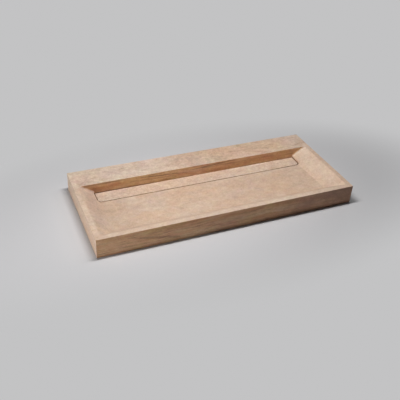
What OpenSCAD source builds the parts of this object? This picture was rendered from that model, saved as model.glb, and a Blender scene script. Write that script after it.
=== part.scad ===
// A long travertine washbasin cut from one slab: a mitred hopper bowl, a deck behind it, and a
// linear drain under a lift-off stone cover. Millimetres. +X runs along the length, +Y to the
// wall, +Z up. The origin is the middle of the underside.

/* [Slab] */
// Length of the basin from end to end
basin_length = 1205; // [1000:5:1500]
// Depth of the basin from its front to the wall
basin_depth = 515; // [460:5:620]
// Height of the basin, which is the thickness of the slab
basin_height = 90; // [82:1:150]
// Width of the eased arris along the edges of the slab
arris = 1.2; // [0.6:0.1:3]

/* [Bowl] */
// Width of the flat rim along the front and both ends
rim_width = 22; // [15:1:40]
// Depth of the flat deck between the bowl and the wall
deck_depth = 125.5; // [80:0.5:150]
// Level distance that the three sloping sides of the bowl cover
slope_run = 70; // [45:1:90]
// Depth of the bowl below the rim, at the foot of the front slope
bowl_depth = 46; // [35:0.5:50]
// Drop of the bowl's floor between the front slope and the upright wall
floor_fall = 5; // [2:0.5:8]
// Radius that the round-nosed tool leaves in the two mitres at the upright wall
mitre_r = 11; // [6:0.5:16]

/* [Drain channel] */
// Distance from each end of the basin to the channel
channel_inset = 89; // [80:1:130]
// Width of the channel, measured forward from the upright wall
channel_width = 77.2; // [70:0.2:100]
// Clear height between the underside of the cover and the lowest part of the channel
water_height = 9.6; // [8:0.2:11]
// Drop of the channel's floor from each end to the outlet
channel_fall = 5; // [2:0.5:6]
// Radius of the channel's front corners
front_corner_r = 20; // [11:1:28]
// Radius that the milling tool leaves in the channel's back corners
back_corner_r = 4.5; // [2:0.5:5]

/* [Outlet] */
// Radius of the hole for the waste
outlet_r = 22.5; // [16:0.5:24]
// Width of the ledge that takes the flange of the waste, all round the hole
flange_ledge = 10.5; // [5:0.5:12]
// Depth of the ledge below the lowest part of the channel
flange_depth = 2.5; // [1:0.5:4]

/* [Cover] */
// Thickness of the stone cover
cover_thickness = 15; // [10:1:17]
// Width of the slot that stays open along the front and both ends of the cover
slot_gap = 5; // [4.6:0.2:10]
// Clearance between the back edge of the cover and the upright wall
wall_gap = 1.5; // [0.5:0.5:3]

/* [Feet] */
// Number of feet in each of the two rows under the cover
feet_per_row = 4; // [2:2:6]
// Radius of a foot where it is glued to the cover
foot_r = 9; // [6:0.5:10]
// Amount by which a foot tapers to its lower end
foot_taper = 1; // [0.5:0.25:2]
// Distance from the end of the cover to the centre of the first foot
foot_inset = 80; // [40:5:120]
// Distance from the long edges of the cover to the nearest side of a foot
foot_margin = 3.4; // [2:0.2:8]
// Clearance between a foot and the floor of the channel at rest
seat_gap = 0.3; // [0.1:0.1:0.5]

/* [Hidden] */
$fn = 96;
feet_count = 2 * feet_per_row;
// Extra reach of a cutting shape past the face that it opens
reach = 1;

// Plan: half sizes, the inner edge of the rim, the upright wall and the feet of the slopes
half_length = basin_length / 2;
half_depth = basin_depth / 2;
rim_x = half_length - rim_width;
rim_y = -half_depth + rim_width;
wall_y = half_depth - deck_depth;
slope_foot_y = rim_y + slope_run;
slope = bowl_depth / slope_run;
slope_angle = atan(slope);

// Heights of the bowl's floor, at its front and at the upright wall
front_floor_z = basin_height - bowl_depth;
wall_floor_z = front_floor_z - floor_fall;

// The channel, and the floor of the bowl above its middle
channel_half = half_length - channel_inset;
channel_y = wall_y - channel_width / 2;
channel_front_y = wall_y - channel_width;
floor_pitch = floor_fall / (wall_y - slope_foot_y);
channel_rim_z = front_floor_z - floor_pitch * (channel_y - slope_foot_y);

// The cover, whose top is level with the floor of the bowl above the middle of the channel
cover_half = channel_half - slot_gap;
cover_front_y = channel_front_y + slot_gap;
cover_back_y = wall_y - wall_gap;
cover_depth = cover_back_y - cover_front_y;
cover_y = (cover_front_y + cover_back_y) / 2;
cover_corner_r = front_corner_r - slot_gap;
cover_top_z = channel_rim_z;
cover_under_z = cover_top_z - cover_thickness;
channel_low_z = cover_under_z - water_height;
flange_r = outlet_r + flange_ledge;

// The floor of the channel at a distance from its middle
function channel_floor_z(x) = channel_low_z + channel_fall * abs(x) / channel_half;

// Centres of the feet in one row, and the height of a foot that stands at x
foot_step = 2 * (cover_half - foot_inset) / (feet_per_row - 1);
foot_row = cover_depth / 2 - foot_margin - foot_r;
function foot_x(i) = -cover_half + foot_inset + (i % feet_per_row) * foot_step;
function foot_y(i) = cover_y + (i < feet_per_row ? -foot_row : foot_row);
function foot_height(x) = cover_under_z - channel_floor_z(abs(x) + foot_r - foot_taper) - seat_gap;

// A rectangle about the origin with its four corners cut off
module cut_corner_rectangle(width, height, cut) {
    x = width / 2;
    y = height / 2;
    polygon([
        [-x + cut, -y], [x - cut, -y], [x, -y + cut], [x, y - cut],
        [x - cut, y], [-x + cut, y], [-x, y - cut], [-x, -y + cut]
    ]);
}

// A slab on the ground with every edge eased
module eased_slab(length, depth, height, ease) {
    intersection() {
        linear_extrude(height) cut_corner_rectangle(length, depth, ease);
        translate([0, depth / 2, height / 2]) rotate([90, 0, 0])
            linear_extrude(depth) cut_corner_rectangle(length, height, ease);
        translate([-length / 2, 0, height / 2]) rotate([90, 0, 90])
            linear_extrude(length) cut_corner_rectangle(depth, height, ease);
    }
}

// An outline from front to back whose front corners and back corners have their own radii
module two_radius_outline(half_width, front, back, front_r, back_r) {
    difference() {
        translate([-half_width, front]) square([2 * half_width, back - front]);
        for (side = [-1, 1]) {
            translate([side * half_width, front]) corner_waste(-side, 1, front_r);
            translate([side * half_width, back]) corner_waste(-side, -1, back_r);
        }
    }
}

// What rounding takes off a corner at the origin; dir_x and dir_y point into the outline
module corner_waste(dir_x, dir_y, radius) {
    difference() {
        translate([dir_x * radius / 2, dir_y * radius / 2]) square(radius, center = true);
        translate([dir_x * radius, dir_y * radius]) circle(radius);
    }
}

// Seen from the front: the two end slopes, carried on down below the floor
module end_slopes_profile() {
    low_z = wall_floor_z - reach;
    low_x = rim_x - (basin_height - low_z) / slope;
    half = [
        [low_x, low_z],
        [rim_x - arris, basin_height - arris * slope],
        [rim_x + arris, basin_height],
        [rim_x + arris, basin_height + reach]
    ];
    polygon(concat(half, [for (i = [len(half) - 1 : -1 : 0]) [-half[i].x, half[i].y]]));
}

// Seen from the end: the front slope, the falling floor and the upright wall
module front_to_wall_profile() {
    polygon([
        [rim_y - arris, basin_height + reach],
        [rim_y - arris, basin_height],
        [rim_y + arris, basin_height - arris * slope],
        [slope_foot_y, front_floor_z],
        [wall_y, wall_floor_z],
        [wall_y, basin_height - arris],
        [wall_y + arris, basin_height],
        [wall_y + arris, basin_height + reach]
    ]);
}

// The hollow of the bowl: the slopes meet in mitres where the two profiles cross. The two front
// mitres are sharp, and the two at the upright wall are as round as the tool
module bowl_hollow() {
    difference() {
        intersection() {
            translate([0, half_depth, 0]) rotate([90, 0, 0])
                linear_extrude(basin_depth) end_slopes_profile();
            translate([-half_length, 0, 0]) rotate([90, 0, 90])
                linear_extrude(basin_length) front_to_wall_profile();
        }
        wall_mitre_fillet();
        mirror([1, 0, 0]) wall_mitre_fillet();
    }
}

// The stone that the tool leaves standing in the right-hand mitre at the wall, from above the rim
// to below the floor
module wall_mitre_fillet() {
    behind = 2 * arris;
    above = 2 * mitre_r;
    run = (basin_height - wall_floor_z + mitre_r) / sin(slope_angle);
    translate([rim_x, wall_y, basin_height]) rotate([0, -slope_angle, 0]) rotate([90, 0, -90])
        translate([0, 0, -above]) linear_extrude(run + above)
            difference() {
                translate([-behind, -behind]) square(mitre_r + behind);
                translate([mitre_r, mitre_r]) circle(mitre_r);
            }
}

// The hollow of the drain channel, whose floor falls from both ends to the outlet
module channel_hollow() {
    top_z = basin_height + reach;
    intersection() {
        linear_extrude(top_z)
            two_radius_outline(channel_half, channel_front_y, wall_y, front_corner_r, back_corner_r);
        translate([0, wall_y + reach, 0]) rotate([90, 0, 0])
            linear_extrude(channel_width + 2 * reach) polygon([
                [0, channel_low_z],
                [channel_half + reach, channel_floor_z(channel_half + reach)],
                [channel_half + reach, top_z + reach],
                [-channel_half - reach, top_z + reach],
                [-channel_half - reach, channel_floor_z(channel_half + reach)]
            ]);
    }
}

// The hole for the waste, with the ledge that takes its flange
module outlet_hole() {
    ledge_z = channel_low_z - flange_depth;
    translate([0, channel_y, -reach]) cylinder(h = ledge_z + 2 * reach, r = outlet_r);
    translate([0, channel_y, ledge_z]) cylinder(h = flange_depth + reach, r = flange_r);
}

module basin() {
    color("#cdb39b")
        difference() {
            eased_slab(basin_length, basin_depth, basin_height, arris);
            bowl_hollow();
            channel_hollow();
            outlet_hole();
        }
}

// The cover: its long edges and ends are eased on top and underneath
module drain_cover() {
    color("#d8bfa8")
        intersection() {
            translate([0, 0, cover_under_z]) linear_extrude(cover_thickness)
                two_radius_outline(cover_half, cover_front_y, cover_back_y, cover_corner_r, arris);
            translate([0, cover_y, cover_under_z])
                eased_slab(2 * cover_half, cover_depth, cover_thickness, arris);
        }
}

// One rubber foot, glued under the cover and cut to the height of the channel's floor below it
module cover_foot(i) {
    height = foot_height(foot_x(i));
    color("#2c2b29")
        translate([foot_x(i), foot_y(i), cover_under_z - height])
            cylinder(h = height, r1 = foot_r - foot_taper, r2 = foot_r);
}

basin();
drain_cover();
for (i = [0 : feet_count - 1])
    cover_foot(i);
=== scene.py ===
"""Dresses the washbasin's frame: honed travertine basin and drain cover, rubber feet and a studio.

Everything is in metres, in the frame's own axes: +X along the basin, +Y to its back, +Z up.
"""
from functools import cached_property
from math import pi, radians
from typing import NamedTuple

import bmesh
import bpy
from mathutils import Matrix, Vector


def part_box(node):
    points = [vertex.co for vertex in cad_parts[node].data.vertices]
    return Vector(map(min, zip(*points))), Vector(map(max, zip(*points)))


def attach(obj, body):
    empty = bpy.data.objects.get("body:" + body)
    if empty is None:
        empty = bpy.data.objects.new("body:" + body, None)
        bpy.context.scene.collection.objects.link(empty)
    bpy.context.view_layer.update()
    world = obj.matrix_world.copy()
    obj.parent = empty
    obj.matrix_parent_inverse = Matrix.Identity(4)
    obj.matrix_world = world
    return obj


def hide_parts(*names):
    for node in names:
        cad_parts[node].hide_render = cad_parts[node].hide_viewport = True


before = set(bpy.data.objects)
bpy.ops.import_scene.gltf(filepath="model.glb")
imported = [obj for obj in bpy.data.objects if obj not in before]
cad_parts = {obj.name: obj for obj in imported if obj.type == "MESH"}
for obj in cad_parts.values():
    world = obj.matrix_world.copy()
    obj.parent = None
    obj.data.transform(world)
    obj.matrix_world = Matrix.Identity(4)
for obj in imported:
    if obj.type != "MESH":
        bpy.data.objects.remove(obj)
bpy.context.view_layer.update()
SLAB_LOW, SLAB_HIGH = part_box("basin")
COVER_LOW, COVER_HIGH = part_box("drain_cover")
FEET = sorted(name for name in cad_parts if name.startswith("cover_foot_"))

bl_info = {
    "name": "Travertine Washbasin",
    "version": (1, 0, 0),
    "blender": (4, 5, 0),
    "location": "View3D > Sidebar > Washbasin",
    "description": "Models and dresses a travertine slab washbasin with a linear drain",
    "category": "Object",
}

# Flat sides of what is round, and flat steps of each rounded corner and edge
OUTLET_SIDES = 96
FOOT_SIDES = 64
CHANNEL_CORNER_STEPS = 24
COVER_CORNER_STEPS = 20
TOOL_CORNER_STEPS = 8
EASED_EDGE_STEPS = 3

# Edges that turn by more than this are eased
EASED_ANGLE = radians(25)

# How far the outlet's cutters reach past the faces that they open
CUTTER_REACH = 0.002

# Measures closer than this are taken as equal
TOLERANCE = 1e-5

# A direction runs along an axis when its part there is above the first of these, and slants between
# two axes when both its parts there are above the second
ALONG_AXIS = 0.9
SLANTED = 0.1


# Properties

def length(name, description, default):
    """A size in metres that a user may change."""
    return bpy.props.FloatProperty(
        name=name, description=description, default=default, min=0.0, unit="LENGTH", subtype="DISTANCE")


def angle(name, description, degrees):
    """An angle that a user may change, given here in degrees."""
    return bpy.props.FloatProperty(
        name=name, description=description, default=radians(degrees), unit="ROTATION", subtype="ANGLE")


def colour(name, description, default):
    """A colour that a user may change, as linear red, green and blue."""
    return bpy.props.FloatVectorProperty(
        name=name, description=description, default=default, min=0.0, max=1.0, size=3, subtype="COLOR")


def power(name, description, default):
    """The power of a lamp in watts."""
    return bpy.props.FloatProperty(
        name=name, description=description, default=default, min=0.0, unit="POWER")


class WashbasinShape(bpy.types.PropertyGroup):
    """Sizes of the cuts, the eased edges and the feet; the frame gives the rest."""

    rim_width: length("Rim", "Width of the flat rim along the front and both ends", 0.022)
    deck_depth: length("Deck", "Depth of the flat deck behind the bowl", 0.1255)
    slope_run: length("Slope", "Level distance that the sloping sides cover", 0.070)
    bowl_depth: length("Bowl", "Depth of the bowl at the foot of the front slope", 0.046)
    floor_fall: length("Fall", "Drop of the floor from the front slope to the upright wall", 0.005)
    mitre_radius: length("Mitre radius", "Radius of the milled mitres at the upright wall", 0.011)
    slot_gap: length("Slot", "Open slot along the front and ends of the cover", 0.005)
    corner_radius: length("Channel corners", "Radius of the channel's front corners", 0.020)
    back_radius: length("Back corners", "Radius that the tool leaves at the channel's back", 0.0045)
    water_height: length("Water height", "Height from the lowest floor of the channel to the cover", 0.0096)
    channel_fall: length("Channel fall", "Drop of the channel's floor from its ends to the outlet", 0.005)
    outlet_radius: length("Outlet", "Radius of the hole for the waste", 0.0225)
    flange_radius: length("Ledge", "Radius of the ledge for the flange of the waste", 0.033)
    flange_depth: length("Ledge depth", "Depth of the ledge below the channel", 0.0025)
    arris: length("Arris", "Width of the eased edges", 0.0011)
    foot_taper: length("Foot taper", "Amount by which a foot tapers to its lower end", 0.001)
    foot_edge: length("Foot edge", "Width of the eased edges of a foot", 0.0007)


class WashbasinStone(bpy.types.PropertyGroup):
    """Colours of the travertine and of the rubber."""

    cream: colour("Cream", "The palest clouds and the filler", (0.605, 0.487, 0.388))
    blush: colour("Blush", "The beige that fills most of the level faces", (0.556, 0.391, 0.283))
    peach: colour("Peach", "Warm patches on the level faces", (0.590, 0.395, 0.268))
    lilac: colour("Lilac", "Cool pinkish patches on the level faces", (0.516, 0.372, 0.303))
    dust: colour("Dust", "Brown wisps and patches on the level faces", (0.379, 0.250, 0.169))
    tan: colour("Tan", "The lighter bands of the upright faces", (0.740, 0.468, 0.277))
    sienna: colour("Sienna", "The warmer bands of the upright faces", (0.620, 0.318, 0.155))
    ochre: colour("Ochre", "Yellowish patches on the upright faces", (0.654, 0.418, 0.204))
    mauve: colour("Mauve", "Cool dark patches on the upright faces", (0.440, 0.245, 0.172))
    umber: colour("Umber", "The darkest bands and the open pores", (0.284, 0.150, 0.082))
    # Painted shade: the tint laid on the stone inside the drain channel
    shaded: colour("Shade", "The tint of stone that stays damp", (0.66, 0.59, 0.53))
    rubber: colour("Rubber", "The feet under the cover", (0.020, 0.019, 0.018))
    bloom: colour("Bloom", "The paler bloom on the rubber", (0.060, 0.058, 0.055))


class WashbasinStage(bpy.types.PropertyGroup):
    """Floor, camera and lamps."""

    floor: colour("Floor", "The studio floor", (0.555, 0.550, 0.560))
    floor_drift: colour("Floor drift", "The tint of the floor's faint clouds", (0.97, 0.97, 0.97))
    backdrop: colour("Backdrop", "What the camera sees far from the basin", (0.545, 0.545, 0.551))
    clear_radius: length("Clear radius", "Where the floor starts to fade into the backdrop", 0.72)
    lens: bpy.props.FloatProperty(
        name="Lens", description="Focal length on a 36 mm sensor", default=53.40, unit="CAMERA")
    azimuth: angle("Azimuth", "Turn of the camera to the right of +Y", 24.691)
    elevation: angle("Elevation", "Tilt of the camera below the horizon", 34.880)
    roll: angle("Roll", "Turn of the camera about its own axis", 3.399)
    overhead_power: power("Overhead", "Power of the overhead softbox", 23.1)
    fill_power: power("Overhead fill", "Power of the long softbox beside it", 6.0)
    right_power: power("Right", "Power of the small softbox over the right end", 3.9)
    side_power: power("Side", "Power of the softbox off the left end", 14.8)
    corner_power: power("Corner", "Power of the small softbox off the front left corner", 4.1)
    far_power: power("Far side", "Power of the softbox off the back right corner", 5.0)


# The studio

# The camera's place, the nearest and farthest that it sees, and its sensor's width in millimetres
CAMERA_PLACE = (-0.99199, -2.05365, 1.56285)
CAMERA_RANGE = (0.05, 60.0)
SENSOR_WIDTH = 36.0

# The floor stays clear over an oval that is twice as long as it is deep
FLOOR_SIZE = 30.0
CLEAR_OVAL = (1.0, 2.0, 1.0)

# The point that the low softboxes face
BASIN_MIDDLE = (0.0, 0.0, 0.05)


class Softbox(NamedTuple):
    """A lamp: its place, the point that it faces, its width and height, and the property of its power."""

    name: str
    place: tuple
    aim: tuple
    size: tuple
    power: str


SOFTBOXES = (
    Softbox("overhead_softbox", (-0.25, -0.02, 1.7), (-0.25, -0.02, 0.0), (0.8, 0.12), "overhead_power"),
    Softbox("overhead_fill", (-0.15, 0.00, 1.7), (-0.15, 0.00, 0.0), (1.5, 0.12), "fill_power"),
    Softbox("right_softbox", (0.80, 0.15, 1.7), (0.80, 0.15, 0.0), (0.3, 0.12), "right_power"),
    Softbox("side_softbox", (-2.3, -0.2, 0.35), BASIN_MIDDLE, (0.5, 0.5), "side_power"),
    Softbox("corner_softbox", (-1.5, -0.9, 0.3), BASIN_MIDDLE, (0.3, 0.3), "corner_power"),
    Softbox("far_softbox", (2.0, 1.3, 0.35), BASIN_MIDDLE, (0.5, 0.5), "far_power"),
)


# Patches of the slab, placed one by one

class Patch(NamedTuple):
    """A soft patch: its tone, middle, half widths, strength, and its drop for each metre to the right."""

    tone: str
    middle: tuple
    half_widths: tuple
    strength: float
    drop: float = 0.0


LEVEL_PATCHES = (
    # The deck
    Patch("cream", (-0.40, 0.205, 0.090), (0.32, 0.14, 0.05), 0.62),
    Patch("lilac", (-0.30, 0.215, 0.090), (0.20, 0.07, 0.04), 0.28),
    Patch("dust", (0.04, 0.190, 0.090), (0.16, 0.09, 0.04), 0.22),
    Patch("dust", (0.34, 0.215, 0.090), (0.16, 0.07, 0.04), 0.22),
    Patch("peach", (0.34, 0.195, 0.090), (0.17, 0.09, 0.04), 0.60),
    Patch("cream", (0.57, 0.200, 0.090), (0.12, 0.14, 0.04), 0.40),
    Patch("dust", (-0.53, 0.195, 0.090), (0.07, 0.08, 0.04), 0.16),
    # The rims, the slopes and the floor of the bowl
    Patch("peach", (0.44, -0.080, 0.050), (0.17, 0.16, 0.04), 0.35),
    Patch("cream", (0.12, -0.235, 0.085), (0.60, 0.06, 0.04), 0.28),
    Patch("cream", (-0.60, 0.080, 0.060), (0.02, 0.24, 0.06), 0.35),
    Patch("dust", (-0.183, -0.106, 0.043), (0.014, 0.010, 0.02), 0.35),
    Patch("peach", (-0.130, 0.020, 0.041), (0.090, 0.018, 0.02), 0.45),
    Patch("lilac", (-0.545, 0.000, 0.070), (0.032, 0.200, 0.05), 0.60),
    Patch("dust", (-0.545, 0.000, 0.066), (0.030, 0.190, 0.04), 0.20),
    Patch("cream", (0.550, 0.020, 0.070), (0.035, 0.240, 0.05), 0.42),
    Patch("cream", (0.460, -0.070, 0.044), (0.090, 0.150, 0.03), 0.30),
    Patch("dust", (-0.500, -0.090, 0.043), (0.040, 0.100, 0.02), 0.18),
    Patch("dust", (-0.568, -0.150, 0.082), (0.014, 0.060, 0.02), 0.35),
)
UPRIGHT_PATCHES = (
    # The bowl's upright wall
    Patch("umber", (0.00, 0.132, 0.070), (0.80, 0.02, 0.090), 0.08),
    Patch("ochre", (-0.27, 0.132, 0.060), (0.11, 0.02, 0.040), 0.75),
    Patch("sienna", (0.25, 0.132, 0.060), (0.22, 0.02, 0.060), 0.50),
    Patch("sienna", (-0.44, 0.132, 0.064), (0.10, 0.02, 0.022), 0.45),
    Patch("sienna", (0.45, 0.132, 0.060), (0.12, 0.02, 0.060), 0.40),
    Patch("umber", (-0.45, 0.132, 0.085), (0.15, 0.02, 0.005), 0.60),
    # Painted shade at the wall's foot, in the gap behind the left part of the cover
    Patch("umber", (-0.38, 0.132, 0.040), (0.24, 0.02, 0.004), 0.75),
    Patch("umber", (-0.22, 0.132, 0.074), (0.11, 0.02, 0.004), 0.80, 0.07),
    Patch("umber", (0.07, 0.132, 0.079), (0.13, 0.02, 0.004), 0.70, -0.06),
    # The front of the slab
    Patch("mauve", (0.62, -0.258, 0.045), (0.44, 0.02, 0.120), 0.88),
    Patch("mauve", (0.00, -0.258, 0.030), (0.26, 0.02, 0.060), 0.30),
    Patch("ochre", (-0.52, -0.258, 0.030), (0.16, 0.02, 0.040), 0.50),
    Patch("tan", (-0.50, -0.258, 0.050), (0.14, 0.02, 0.060), 0.60),
    Patch("sienna", (-0.52, -0.258, 0.076), (0.10, 0.02, 0.012), 0.55),
    Patch("umber", (-0.325, -0.258, 0.034), (0.14, 0.02, 0.010), 0.60, 0.21),
    Patch("umber", (0.62, -0.258, 0.045), (0.12, 0.02, 0.120), 0.20),
    # Painted shade along the foot of the front, deeper on its right part
    Patch("umber", (0.12, -0.258, 0.000), (0.66, 0.02, 0.017), 0.50),
    Patch("umber", (0.38, -0.258, 0.000), (0.40, 0.02, 0.022), 0.45),
    # Painted shade on both sides of the slot along the cover's front
    Patch("umber", (0.46, 0.060, 0.033), (0.11, 0.02, 0.020), 0.85),
    Patch("umber", (-0.39, 0.060, 0.033), (0.11, 0.02, 0.020), 0.45),
)

# The edge of a patch, in half widths: where it fades in and is full, and how far noise pushes it
PATCH_EDGE = (1.25, 0.35)
PATCH_RAGGEDNESS = 1.6

# Heights of the relief in the stone and on the rubber
PORE_DEPTH = 0.0005
FINE_RELIEF = 0.00012
GRAIN_RELIEF = 0.00004
RUBBER_RELIEF = 0.00008

# How far outside the channel's walls the painted shade begins and where it is full, and the same as
# heights, which keep it off the underside of the slab
CHANNEL_SHADE_EDGE = (0.001, 0.0006)
CHANNEL_SHADE_HEIGHTS = (0.002, 0.004)


# Shader wiring

class Wire:
    """One output of a shader node, reckoned with like a number."""

    def __init__(self, bench, socket):
        self.bench = bench
        self.socket = socket

    def reckon(self, operation, left, right):
        """A Math node that works on two values."""
        return self.bench.node("ShaderNodeMath", {"operation": operation}, {0: left, 1: right})

    def __add__(self, other):
        return self.reckon("ADD", self, other)

    def __radd__(self, other):
        return self.reckon("ADD", other, self)

    def __sub__(self, other):
        return self.reckon("SUBTRACT", self, other)

    def __rsub__(self, other):
        return self.reckon("SUBTRACT", other, self)

    def __mul__(self, other):
        return self.reckon("MULTIPLY", self, other)

    def __rmul__(self, other):
        return self.reckon("MULTIPLY", other, self)

    def __abs__(self):
        return self.reckon("ABSOLUTE", self, 0.0)

    def fade(self, low, high, start=0.0, end=1.0):
        """A smooth step from start, where the value is low, to end, where it is high."""
        return self.bench.node(
            "ShaderNodeMapRange", {"interpolation_type": "SMOOTHSTEP"},
            {0: self, 1: low, 2: high, 3: start, 4: end})


class Bench:
    """A material or a world being wired."""

    # A Mix node's own sockets for colours
    mix_factor, mix_below, mix_above, mix_result = 0, 6, 7, 2

    def __init__(self, wired):
        wired.use_nodes = True
        self.wired = wired
        self.tree = wired.node_tree
        self.tree.nodes.clear()

    def node(self, kind, settings=None, values=None, out=0):
        """Adds a node with its settings, then its values and links, and returns one of its outputs."""
        made = self.tree.nodes.new(kind)
        for key, value in (settings or {}).items():
            setattr(made, key, value)
        for key, value in (values or {}).items():
            if isinstance(value, Wire):
                self.tree.links.new(value.socket, made.inputs[key])
            else:
                made.inputs[key].default_value = value
        return Wire(self, made.outputs[out]) if made.outputs else None

    @cached_property
    def place(self):
        """Where a point of the piece lies, in metres."""
        return self.node("ShaderNodeTexCoord", out="Object")

    def moved(self, place, by):
        """A place shifted by a vector."""
        return self.node("ShaderNodeVectorMath", {"operation": "ADD"}, {0: place, 1: by})

    def lifted(self, place, height):
        """A place shifted upwards by a height that may vary."""
        return self.moved(place, self.node("ShaderNodeCombineXYZ", values={"Z": height}))

    def stretched(self, place, by):
        """A place with each of its three parts multiplied."""
        return self.node("ShaderNodeVectorMath", {"operation": "MULTIPLY"}, {0: place, 1: by})

    def distance(self, place):
        """How far a place is from the origin."""
        return self.node("ShaderNodeVectorMath", {"operation": "LENGTH"}, {0: place}, out="Value")

    def split(self, vector):
        """The three parts of a vector."""
        parts = self.node("ShaderNodeSeparateXYZ", values={0: vector}).socket.node.outputs
        return [Wire(self, part) for part in parts]

    def noise(self, place, scale, detail, roughness=0.5, distortion=0.0, stretch=None, out="Fac"):
        """Cloudy noise on a place, which is stretched first where a stretch is given."""
        return self.node("ShaderNodeTexNoise", values={
            "Vector": self.stretched(place, stretch) if stretch else place,
            "Scale": scale,
            "Detail": detail,
            "Roughness": roughness,
            "Distortion": distortion,
        }, out=out)

    def mixed(self, below, above, amount, blend="MIX"):
        """One colour laid over another, or blended with it."""
        return self.node(
            "ShaderNodeMix", {"data_type": "RGBA", "blend_type": blend},
            {self.mix_factor: amount, self.mix_below: below, self.mix_above: above}, out=self.mix_result)

    def tinted(self, below, tint, amount):
        """A colour multiplied by a tint."""
        return self.mixed(below, tint, amount, "MULTIPLY")

    def mottled(self, below, noise, strength):
        """A colour lightened and darkened by a noise that swings about a half."""
        return self.mixed(below, noise, strength, "OVERLAY")

    def finish(self, values, relief, strength):
        """Ends in one surface shader, with a bump made from a relief in metres."""
        bump = self.node("ShaderNodeBump", values={
            "Strength": strength, "Distance": 1.0, "Height": relief})
        surface = self.node("ShaderNodeBsdfPrincipled", values={**values, "Normal": bump})
        self.node("ShaderNodeOutputMaterial", values={"Surface": surface})
        return self.wired


def rgba(rgb):
    """A colour as a socket takes it."""
    return (*rgb, 1.0)


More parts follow.
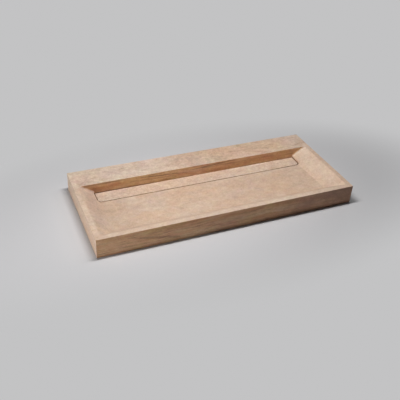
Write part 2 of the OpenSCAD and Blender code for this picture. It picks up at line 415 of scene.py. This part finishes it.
class StoneBench(Bench):
    """Travertine whose beds lie level, with the noises that its faces share."""

    def __init__(self, name, stone, quarry_shift, paleness):
        super().__init__(bpy.data.materials.new(name))
        self.stone = stone
        self.paleness = paleness
        self.along, self.aside, self.height = self.split(self.place)

        # Clouds and warmth, which every face has, and the ragged front of the deck
        self.block = self.moved(self.place, quarry_shift)
        self.clouds = self.noise(self.block, 5.5, 5.0, 0.60, 0.4, stretch=(0.7, 1.0, 1.0))
        elsewhere = self.moved(self.block, (4.2, 1.1, 0.3))
        self.warmth = self.noise(elsewhere, 14.0, 4.0, 0.60, 0.3, stretch=(0.7, 1.0, 1.2))
        self.deck = (self.aside + (self.clouds - 0.5) * 0.10).fade(0.105, 0.140)

        # The beds rise and sink gently along the block
        sway = self.noise(self.block, 1.6, 2.0) - 0.5
        ripple = self.noise(self.block, 6.0, 3.0) - 0.5
        self.bedded = self.lifted(self.block, sway * 0.060 + ripple * 0.016)

        # Mottling at three sizes, and the grain of the honed face
        self.broad = self.noise(self.block, 26.0, 3.0, 0.6, 0.2, stretch=(0.8, 1.0, 1.4))
        self.middling = self.noise(self.block, 64.0, 3.0, 0.6, stretch=(0.8, 1.0, 1.6))
        self.fine = self.noise(self.block, 150.0, 3.0, 0.65, stretch=(0.9, 1.0, 1.6))
        self.grain = self.noise(self.block, 460.0, 3.0, 0.6)

    def beds(self, level, upward, detail, roughness=0.5, distortion=0.0, out="Fac"):
        """Noise drawn out along the beds: its swings per metre in their plane, and upwards."""
        stretch = (level, level, upward)
        return self.noise(self.bedded, 1.0, detail, roughness, distortion, stretch, out)

    def laid(self, below, tone, amount):
        """One of the stone's tones laid over a colour."""
        return self.mixed(below, rgba(getattr(self.stone, tone)), amount)

    def patched(self, skin, patches):
        """A colour with its patches laid on, each with a ragged edge."""
        for patch in patches:
            away = self.moved(self.place, tuple(-part for part in patch.middle))
            if patch.drop:
                away = self.lifted(away, self.split(away)[0] * patch.drop)
            away = self.stretched(away, tuple(1.0 / part for part in patch.half_widths))
            reach = self.distance(away) + (self.clouds - 0.5) * PATCH_RAGGEDNESS
            skin = self.laid(skin, patch.tone, reach.fade(*PATCH_EDGE) * patch.strength)
        return skin

    def level_faces(self):
        """Clouds, warm and cool patches, and thin wisps along the slab, plainest on the deck."""
        creaminess = self.clouds.fade(0.40, 0.66) * 0.55 + self.deck * 0.12 + self.paleness
        skin = self.laid(rgba(self.stone.blush), "cream", creaminess)
        skin = self.laid(skin, "peach", self.warmth.fade(0.50, 0.70) * 0.55)
        skin = self.laid(skin, "lilac", self.warmth.fade(0.50, 0.30) * 0.55)
        skin = self.patched(skin, LEVEL_PATCHES)
        wisps = self.noise(self.block, 42.0, 4.0, 0.62, 0.6, stretch=(0.22, 1.0, 1.0))
        return self.laid(skin, "dust", wisps.fade(0.53, 0.70) * (0.15 + self.deck * 0.45))

    def upright_faces(self):
        """Warm bands along the beds, fainter on the right half of the slab's front."""
        wide_beds = self.beds(2.6, 34.0, 3.0, 0.55, 0.2)
        thin_beds = self.beds(7.0, 130.0, 4.0, 0.60, 0.3)
        hair_beds = self.beds(24.0, 520.0, 3.0, 0.60)
        elsewhere = self.moved(self.bedded, (2.0, 5.0, 1.0))
        streaky = self.noise(elsewhere, 1.0, 2.0, stretch=(3.0, 3.0, 16.0)).fade(0.40, 0.60)
        banding = 1.0 - self.along.fade(-0.05, 0.30) * self.aside.fade(-0.20, -0.25) * 0.55

        skin = self.laid(rgba(self.stone.sienna), "tan", wide_beds.fade(0.38, 0.62))
        skin = self.laid(skin, "ochre", self.warmth.fade(0.48, 0.64) * 0.7)
        skin = self.laid(skin, "mauve", self.clouds.fade(0.46, 0.34) * 0.35)
        skin = self.patched(skin, UPRIGHT_PATCHES)
        skin = self.laid(skin, "umber", banding * thin_beds.fade(0.50, 0.70) * (0.25 + streaky * 0.50))
        skin = self.laid(skin, "tan", banding * thin_beds.fade(0.47, 0.30) * 0.45)
        skin = self.laid(skin, "umber", banding * hair_beds.fade(0.45, 0.72) * (0.12 + streaky * 0.20))
        tinge = self.beds(9.0, 36.0, 3.0, 0.6, out="Color")
        return self.mottled(skin, tinge, banding * 0.15)

    def uprightness(self):
        """1 on the faces that look forward or back, a little on the ends, and 0 on the rest."""
        rightward, backward, _ = self.split(self.node("ShaderNodeNewGeometry", out="Normal"))
        return abs(backward).fade(0.80, 0.97) + abs(rightward).fade(0.75, 1.0, 0.0, 0.12)

    def mottling(self, skin):
        """Faint tinges of other colours, then mottling from broad to fine, liveliest on the deck."""
        liveliness = 1.0 + self.deck * 0.4
        skin = self.mottled(skin, self.noise(self.block, 30.0, 3.0, 0.6, out="Color"), 0.07)
        elsewhere = self.moved(self.block, (1.7, 0.4, 2.3))
        tinge = self.noise(elsewhere, 9.0, 2.0, stretch=(0.7, 1.0, 1.0), out="Color")
        skin = self.mottled(skin, tinge, self.deck * 0.08)
        skin = self.mottled(skin, self.broad, liveliness * 0.24)
        skin = self.mottled(skin, self.middling, liveliness * 0.20)
        skin = self.mottled(skin, self.fine, liveliness * 0.28 + self.paleness)
        return self.mottled(skin, self.grain, 0.25)

    def open_pores(self):
        """1 in the pores that the filler has left open, which lie in some beds only."""
        place = self.stretched(self.block, (1.0, 1.0, 2.0))
        cells = self.node("ShaderNodeTexVoronoi", values={
            "Vector": place, "Scale": 170.0, "Randomness": 1.0}, out="Distance")
        return cells.fade(0.20, 0.08) * self.beds(7.0, 60.0, 3.0, 0.6).fade(0.52, 0.68)

    def channel_shaded(self, skin, low, high):
        """Darker stone in the drain channel: painted shade below the cover's top."""
        start, full = CHANNEL_SHADE_EDGE
        shaded = abs(self.along).fade(high.x + start, high.x + full)
        shaded = shaded * self.aside.fade(low.y - start, low.y - full)
        shaded = shaded * self.aside.fade(high.y + start, high.y + full)
        shaded = shaded * self.height.fade(high.z, high.z - full)
        shaded = shaded * self.height.fade(*CHANNEL_SHADE_HEIGHTS)
        return self.tinted(skin, rgba(self.stone.shaded), shaded)


def travertine(name, stone, quarry_shift, paleness=0.0, shade_box=None):
    """Honed travertine: clouds on the level faces, and warm bands on the long upright ones."""
    bench = StoneBench(name, stone, quarry_shift, paleness)
    skin = bench.mixed(bench.level_faces(), bench.upright_faces(), bench.uprightness())
    pores = bench.open_pores()
    skin = bench.laid(bench.mottling(skin), "umber", pores * 0.6)
    # Painted shade inside the drain channel, where its box is given
    if shade_box:
        skin = bench.channel_shaded(skin, *shade_box)
    relief = (1.0 - pores) * PORE_DEPTH + bench.fine * FINE_RELIEF + bench.grain * GRAIN_RELIEF
    return bench.finish({
        "Base Color": skin,
        "Roughness": 0.50 + bench.middling * 0.14 + pores * 0.3,
        "Specular IOR Level": 0.35,
    }, relief, strength=0.6)


def foot_rubber(stone):
    """Matt moulded rubber."""
    bench = Bench(bpy.data.materials.new("foot_rubber"))
    bloom = bench.noise(bench.place, 120.0, 4.0, 0.6)
    specks = bench.noise(bench.place, 900.0, 2.0)
    return bench.finish({
        "Base Color": bench.mixed(rgba(stone.rubber), rgba(stone.bloom), bloom.fade(0.4, 0.8) * 0.6),
        "Roughness": 0.62 + bloom * 0.2,
        "Specular IOR Level": 0.4,
    }, specks * RUBBER_RELIEF, strength=0.5)


def studio_floor(stage):
    """A pale matt floor that fades, for the camera alone, into an even backdrop."""
    bench = Bench(bpy.data.materials.new("studio_floor"))
    drift = bench.noise(bench.place, 0.8, 2.0)
    lit = bench.node("ShaderNodeBsdfPrincipled", values={
        "Base Color": bench.tinted(rgba(stage.floor), rgba(stage.floor_drift), drift),
        "Roughness": 0.75,
        "Specular IOR Level": 0.2,
    })
    backdrop = bench.node("ShaderNodeEmission", values={"Color": rgba(stage.backdrop)})
    away = bench.distance(bench.stretched(bench.place, CLEAR_OVAL))
    seen = bench.node("ShaderNodeLightPath", out="Is Camera Ray")
    fade = away.fade(stage.clear_radius, 2.0 * stage.clear_radius) * seen
    surface = bench.node("ShaderNodeMixShader", values={0: fade, 1: lit, 2: backdrop})
    bench.node("ShaderNodeOutputMaterial", values={"Surface": surface})
    return bench.wired


def studio_air(stage):
    """A world that shows the camera the backdrop and sheds no light."""
    bench = Bench(bpy.data.worlds.new("studio_air"))
    seen = bench.node("ShaderNodeLightPath", out="Is Camera Ray")
    air = bench.node("ShaderNodeBackground", values={"Color": rgba(stage.backdrop), "Strength": seen})
    bench.node("ShaderNodeOutputWorld", values={"Surface": air})
    return bench.wired


# Modelling by hand, in code

def clear_selection():
    """Leaves edit mode and deselects everything."""
    if bpy.context.mode != "OBJECT":
        bpy.ops.object.mode_set(mode="OBJECT")
    bpy.ops.object.select_all(action="DESELECT")


def pick(piece):
    """Makes a piece the only one that is selected."""
    clear_selection()
    bpy.context.view_layer.objects.active = piece
    piece.select_set(True)


def placed(name=None):
    """The primitive just added, with its place and size in its mesh and, where one is given, a name."""
    bpy.ops.object.transform_apply(location=True, rotation=True, scale=True)
    piece = bpy.context.object
    if name:
        piece.name = piece.data.name = name
    return piece


def box_between(name, low, high):
    """A new box with two opposite corners at low and high."""
    clear_selection()
    low, high = Vector(low), Vector(high)
    bpy.ops.mesh.primitive_cube_add(size=1.0, location=(low + high) / 2, scale=high - low)
    return placed(name)


def select_parts(piece, kind, wanted):
    """In edit mode, selects the faces, edges or vertices whose middle and direction are the wanted ones."""
    pick(piece)
    bpy.ops.object.mode_set(mode="EDIT")
    bpy.ops.mesh.select_mode(type=kind)
    bpy.ops.mesh.select_all(action="DESELECT")
    mesh = bmesh.from_edit_mesh(piece.data)
    if kind == "FACE":
        for face in mesh.faces:
            face.select_set(wanted(face.calc_center_median(), face.normal))
    elif kind == "EDGE":
        for edge in mesh.edges:
            start, end = (vertex.co for vertex in edge.verts)
            edge.select_set(wanted((start + end) / 2, (end - start).normalized()))
    else:
        for vertex in mesh.verts:
            vertex.select_set(wanted(vertex.co, vertex.normal))
    mesh.select_flush_mode()
    bmesh.update_edit_mesh(piece.data)


def near(value, goal):
    """Whether two measures agree."""
    return abs(value - goal) < TOLERANCE


def select_long_edge(piece, y, z):
    """Selects the edge whose middle is at a depth and a height."""
    select_parts(piece, "EDGE", lambda middle, run: near(middle.y, y) and near(middle.z, z))


def round_corners(piece, y, radius, steps):
    """Rounds a box's two upright edges that stand at y."""
    select_parts(piece, "EDGE", lambda middle, run: abs(run.z) > ALONG_AXIS and near(middle.y, y))
    bpy.ops.mesh.bevel(offset=radius, segments=steps, affect="EDGES")


def apply_modifier(piece, kind, **settings):
    """Adds a modifier with its settings and applies it."""
    pick(piece)
    modifier = piece.modifiers.new(kind.lower(), kind)
    for key, value in settings.items():
        setattr(modifier, key, value)
    bpy.ops.object.modifier_apply(modifier=modifier.name)


def cut_away(piece, cutter):
    """Takes the cutter's shape out of the piece, and throws the cutter away."""
    apply_modifier(piece, "BOOLEAN", operation="DIFFERENCE", solver="EXACT", object=cutter)
    pick(cutter)
    bpy.ops.object.delete()


def ease_edges(piece, width):
    """Rounds every sharp edge a little, and shades the flats flat."""
    pick(piece)
    bpy.ops.object.shade_smooth()
    apply_modifier(
        piece, "BEVEL", width=width, segments=EASED_EDGE_STEPS, limit_method="ANGLE",
        angle_limit=EASED_ANGLE, harden_normals=True, use_clamp_overlap=True, miter_outer="MITER_ARC")


def seat(piece, material, body, node):
    """Gives a finished piece its material and its place in the frame."""
    clear_selection()
    piece.data.materials.clear()
    piece.data.materials.append(material)
    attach(piece, body)
    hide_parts(node)


# Operators

class WASHBASIN_OT_basin(bpy.types.Operator):
    """Cut the basin from its slab: bowl, drain channel and outlet"""

    bl_idname = "washbasin.basin"
    bl_label = "Basin"

    # Where in the quarry's block the slab lies
    quarry_shift = (3.1, 1.7, 0.42)

    def execute(self, context):
        shape = context.scene.washbasin_shape
        stone = context.scene.washbasin_stone
        basin = box_between("travertine_basin", SLAB_LOW, SLAB_HIGH)
        self.sink_bowl(basin, shape)
        cut_away(basin, self.channel_cutter(shape))
        for cutter in self.outlet_cutters(shape):
            cut_away(basin, cutter)
        ease_edges(basin, shape.arris)
        # The basin's stone gets painted shade inside the drain channel
        material = travertine("travertine", stone, self.quarry_shift, shade_box=self.channel_box(shape))
        seat(basin, material, "basin", "basin")
        return {"FINISHED"}

    def sink_bowl(self, basin, shape):
        """Sinks the bowl: three sloping sides, a falling floor, and rounded mitres at the upright wall."""
        rim_x = SLAB_HIGH.x - shape.rim_width
        front_y = SLAB_LOW.y + shape.rim_width
        wall_y = SLAB_HIGH.y - shape.deck_depth
        floor_z = SLAB_HIGH.z - shape.bowl_depth

        # The mouth is an inset of the top face, with its back edge pulled forward to leave the deck
        select_parts(basin, "FACE", lambda middle, normal: normal.z > ALONG_AXIS)
        bpy.ops.mesh.inset(thickness=shape.rim_width)
        select_long_edge(basin, SLAB_HIGH.y - shape.rim_width, SLAB_HIGH.z)
        bpy.ops.transform.translate(value=(0, shape.rim_width - shape.deck_depth, 0))

        # The mouth is sunk to the floor
        select_parts(basin, "FACE", lambda middle, normal: normal.z > ALONG_AXIS
                     and near(middle.x, 0) and front_y < middle.y < wall_y)
        bpy.ops.mesh.extrude_region_move(TRANSFORM_OT_translate={"value": (0, 0, -shape.bowl_depth)})

        # The floor's front edge moves in for the front slope, and its ends for the end slopes
        select_long_edge(basin, front_y, floor_z)
        bpy.ops.transform.translate(value=(0, shape.slope_run, 0))
        self.pull_in(rim_x, shape.slope_run)

        # Its back edge drops, and its ends move in further because they lie deeper
        select_long_edge(basin, wall_y, floor_z)
        bpy.ops.transform.translate(value=(0, 0, -shape.floor_fall))
        self.pull_in(rim_x, shape.slope_run * (shape.bowl_depth + shape.floor_fall) / shape.bowl_depth)

        # The tool leaves the two mitres at the wall round
        select_parts(basin, "EDGE", lambda middle, run: near(middle.y, wall_y)
                     and min(abs(run.x), abs(run.z)) > SLANTED)
        bpy.ops.mesh.bevel(offset=shape.mitre_radius, segments=TOOL_CORNER_STEPS, affect="EDGES")
        clear_selection()

    def pull_in(self, rim_x, run):
        """Brings the ends of the selected edge in from the rims by a run."""
        bpy.ops.transform.resize(value=((rim_x - run) / rim_x, 1, 1), center_override=(0, 0, 0))

    def channel_box(self, shape):
        """The box that the drain channel fills, from its floor at the ends to the top of the cover."""
        low = Vector((-COVER_HIGH.x - shape.slot_gap, COVER_LOW.y - shape.slot_gap,
                      COVER_LOW.z - shape.water_height + shape.channel_fall))
        high = Vector((-low.x, SLAB_HIGH.y - shape.deck_depth, COVER_HIGH.z))
        return low, high

    def channel_cutter(self, shape):
        """The channel with its round corners and a floor that falls to the middle."""
        low, high = self.channel_box(shape)
        open_z = SLAB_HIGH.z - shape.bowl_depth / 2
        cutter = box_between("channel_cutter", low, (high.x, high.y, open_z))
        round_corners(cutter, low.y, shape.corner_radius, CHANNEL_CORNER_STEPS)
        round_corners(cutter, high.y, shape.back_radius, TOOL_CORNER_STEPS)
        bpy.ops.mesh.select_all(action="SELECT")
        bpy.ops.mesh.bisect(plane_co=(0, 0, 0), plane_no=(1, 0, 0))
        select_parts(cutter, "VERT", lambda place, normal: near(place.x, 0) and near(place.z, low.z))
        bpy.ops.transform.translate(value=(0, 0, -shape.channel_fall))
        clear_selection()
        return cutter

    def outlet_cutters(self, shape):
        """The hole for the waste and the ledge for its flange."""
        outlet_y = (COVER_LOW.y - shape.slot_gap + SLAB_HIGH.y - shape.deck_depth) / 2
        low_z = COVER_LOW.z - shape.water_height
        ledge_z = low_z - shape.flange_depth
        hole = (shape.outlet_radius, -CUTTER_REACH, ledge_z + CUTTER_REACH)
        ledge = (shape.flange_radius, ledge_z, low_z + CUTTER_REACH)
        for radius, bottom, top in (hole, ledge):
            clear_selection()
            bpy.ops.mesh.primitive_cylinder_add(
                vertices=OUTLET_SIDES, radius=radius, depth=top - bottom,
                location=(0, outlet_y, (top + bottom) / 2))
            yield placed()


class WASHBASIN_OT_cover(bpy.types.Operator):
    """Make the loose stone cover of the drain channel"""

    bl_idname = "washbasin.cover"
    bl_label = "Drain Cover"

    # Where in the quarry's block the strip lies, and how much paler it is than the slab
    quarry_shift = (7.4, 2.2, 0.70)
    paleness = 0.25

    def execute(self, context):
        shape = context.scene.washbasin_shape
        stone = context.scene.washbasin_stone
        cover = box_between("travertine_cover", COVER_LOW, COVER_HIGH)
        round_corners(cover, COVER_LOW.y, shape.corner_radius - shape.slot_gap, COVER_CORNER_STEPS)
        ease_edges(cover, shape.arris)
        material = travertine("cover_travertine", stone, self.quarry_shift, self.paleness)
        seat(cover, material, "cover", "drain_cover")
        return {"FINISHED"}


class WASHBASIN_OT_feet(bpy.types.Operator):
    """Mould the rubber feet under the cover"""

    bl_idname = "washbasin.feet"
    bl_label = "Cover Feet"

    def execute(self, context):
        rubber = foot_rubber(context.scene.washbasin_stone)
        first = self.mould_foot(context.scene.washbasin_shape)
        for node in FEET:
            foot = first if node == FEET[0] else self.copy_foot(first, node)
            foot.name = foot.data.name = node.replace("cover_foot", "rubber_foot")
            seat(foot, rubber, "cover", node)
        return {"FINISHED"}

    def mould_foot(self, shape):
        """The first foot, round and tapered, with its edges eased."""
        low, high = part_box(FEET[0])
        radius = (high.x - low.x) / 2
        clear_selection()
        bpy.ops.mesh.primitive_cone_add(
            vertices=FOOT_SIDES, radius1=radius - shape.foot_taper, radius2=radius,
            depth=high.z - low.z, location=(low + high) / 2)
        foot = placed()
        ease_edges(foot, shape.foot_edge)
        return foot

    def copy_foot(self, first, node):
        """A copy with its own mesh, moved to its place and drawn out to its own height."""
        first_low, first_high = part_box(FEET[0])
        low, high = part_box(node)
        foot = first.copy()
        foot.data = first.data.copy()
        bpy.context.collection.objects.link(foot)
        shift = Vector((low.x - first_low.x, low.y - first_low.y, high.z - first_high.z))
        select_parts(foot, "VERT", lambda place, normal: True)
        bpy.ops.transform.translate(value=shift)
        middle_z = high.z - (first_high.z - first_low.z) / 2
        select_parts(foot, "VERT", lambda place, normal: place.z < middle_z)
        bpy.ops.transform.translate(value=(0, 0, low.z - first_low.z - shift.z))
        clear_selection()
        return foot


class WASHBASIN_OT_stage(bpy.types.Operator):
    """Set the floor, the lamps and the camera"""

    bl_idname = "washbasin.stage"
    bl_label = "Studio"

    def execute(self, context):
        scene = context.scene
        stage = scene.washbasin_stage
        self.lay_floor(stage)
        for softbox in SOFTBOXES:
            self.hang(softbox, getattr(stage, softbox.power))
        scene.world = studio_air(stage)
        scene.camera = self.place_camera(stage)
        scene.view_settings.view_transform = "Standard"
        return {"FINISHED"}

    def lay_floor(self, stage):
        """Lays the studio floor, which isn't part of the washbasin."""
        clear_selection()
        bpy.ops.mesh.primitive_plane_add(size=FLOOR_SIZE, location=(0, 0, 0))
        floor = bpy.context.object
        floor.name = floor.data.name = "studio_floor"
        floor.data.materials.append(studio_floor(stage))

    def hang(self, softbox, watts):
        """Hangs one softbox and turns it to the point that it faces."""
        clear_selection()
        bpy.ops.object.light_add(type="AREA", location=softbox.place)
        lamp = bpy.context.object
        lamp.name = lamp.data.name = softbox.name
        lamp.data.shape = "RECTANGLE"
        lamp.data.size, lamp.data.size_y = softbox.size
        lamp.data.energy = watts
        shine = Vector(softbox.aim) - Vector(softbox.place)
        lamp.rotation_euler = shine.to_track_quat("-Z", "Y").to_euler()

    def place_camera(self, stage):
        """The camera at the photograph's place, with its lens and its tilt."""
        clear_selection()
        bpy.ops.object.camera_add(location=CAMERA_PLACE)
        camera = bpy.context.object
        camera.name = "photo_camera"
        camera.data.sensor_width = SENSOR_WIDTH
        camera.data.lens = stage.lens
        camera.data.clip_start, camera.data.clip_end = CAMERA_RANGE
        turn = (Matrix.Rotation(-stage.azimuth, 4, "Z")
                @ Matrix.Rotation(pi / 2 - stage.elevation, 4, "X")
                @ Matrix.Rotation(stage.roll, 4, "Z"))
        camera.rotation_euler = turn.to_euler()
        return camera


class WASHBASIN_PT_panel(bpy.types.Panel):
    """The washbasin's pieces, in the sidebar"""

    bl_label = "Washbasin"
    bl_idname = "WASHBASIN_PT_panel"
    bl_space_type = "VIEW_3D"
    bl_region_type = "UI"
    bl_category = "Washbasin"

    def draw(self, context):
        for operator in OPERATORS:
            self.layout.operator(operator.bl_idname)
        for group in GROUPS:
            settings = getattr(context.scene, group)
            box = self.layout.box()
            for name in settings.__annotations__:
                box.prop(settings, name)


GROUPS = {
    "washbasin_shape": WashbasinShape,
    "washbasin_stone": WashbasinStone,
    "washbasin_stage": WashbasinStage,
}
OPERATORS = (WASHBASIN_OT_basin, WASHBASIN_OT_cover, WASHBASIN_OT_feet, WASHBASIN_OT_stage)


def register():
    for name, group in GROUPS.items():
        bpy.utils.register_class(group)
        setattr(bpy.types.Scene, name, bpy.props.PointerProperty(type=group))
    for made in (*OPERATORS, WASHBASIN_PT_panel):
        bpy.utils.register_class(made)


def unregister():
    for made in (WASHBASIN_PT_panel, *reversed(OPERATORS)):
        bpy.utils.unregister_class(made)
    for name, group in GROUPS.items():
        delattr(bpy.types.Scene, name)
        bpy.utils.unregister_class(group)


def main():
    """Makes the pieces and the studio."""
    register()
    bpy.ops.washbasin.basin()
    bpy.ops.washbasin.cover()
    bpy.ops.washbasin.feet()
    bpy.ops.washbasin.stage()


if __name__ == "__main__":
    main()
